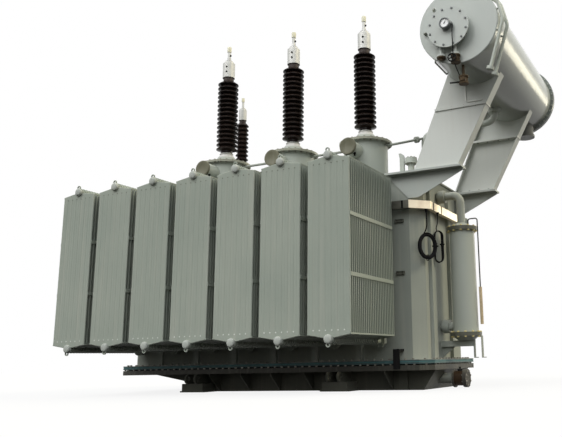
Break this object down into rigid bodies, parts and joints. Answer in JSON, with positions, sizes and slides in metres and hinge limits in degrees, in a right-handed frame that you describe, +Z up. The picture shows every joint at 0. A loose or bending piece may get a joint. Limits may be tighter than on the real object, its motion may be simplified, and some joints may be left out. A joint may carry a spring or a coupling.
{
  "type": "power transformer",
  "caption": "Oil-filled power transformer: chamfered bell tank with banks of panel radiators, porcelain bushings on turrets and a conservator drum across one end.",
  "frame": {"origin": "on the underside of the base pan, below the middle of the tank", "axes": "+X along the tank towards the conservator, -Y the radiator bank that the picture shows, +Z up"},
  "size_m": [6.002, 4.268, 5.151],
  "materials": {
    "tank_paint": "satin grey-green paint",
    "radiator_paint": "satin grey-green paint",
    "porcelain": "dark brown glaze",
    "cast_alloy": "matt cast alloy",
    "gasket": "teal-black sheet rubber",
    "cable": "black cable jacket",
    "trunking": "bright formed sheet",
    "bronze": "weathered bronze",
    "black_paint": "black paint",
    "sight_tube": "dark tube with a buff sleeve",
    "gauge": "grey paint with a white dial"
  },
  "bodies": {
    "root": {"base_pan": "tank_paint", "base_rim": "tank_paint", "bell_flange": "tank_paint", "bushing_caps": "cast_alloy", "bushing_feet": "tank_paint", "bushing_porcelain": "porcelain", "cable_coil": "cable", "cable_hank": "cable", "cable_tray": "trunking", "conservator_fittings": "tank_paint", "conservator_legs": "tank_paint", "conservator_rear": "tank_paint", "conservator_shell": "tank_paint", "conservator_valves": "bronze", "cover_fittings": "tank_paint", "drain_valve": "tank_paint", "filter_arm": "tank_paint", "filter_pipes": "tank_paint", "filter_sight_tube": "sight_tube", "flange_clamp": "black_paint", "flange_gasket": "gasket", "gas_pipe": "tank_paint", "hauling_feet": "tank_paint", "leg_brackets": "tank_paint", "lv_metal": "cast_alloy", "lv_porcelain": "porcelain", "main_pipe": "tank_paint", "manhole": "tank_paint", "oil_filter": "tank_paint", "oil_gauge": "gauge", "radiator_front_1": "radiator_paint", "radiator_front_2": "radiator_paint", "radiator_front_3": "radiator_paint", "radiator_front_4": "radiator_paint", "radiator_front_5": "radiator_paint", "radiator_front_6": "radiator_paint", "radiator_front_7": "radiator_paint", "radiator_rear_1": "radiator_paint", "radiator_rear_2": "radiator_paint", "radiator_rear_3": "radiator_paint", "radiator_rear_4": "radiator_paint", "radiator_rear_5": "radiator_paint", "radiator_rear_6": "radiator_paint", "radiator_rear_7": "radiator_paint", "radiator_valves": "tank_paint", "tank_body": "tank_paint", "tank_cover": "tank_paint", "tank_ribs": "tank_paint", "turrets": "tank_paint", "vent_pipes": "tank_paint"}
  },
  "joints": []
}
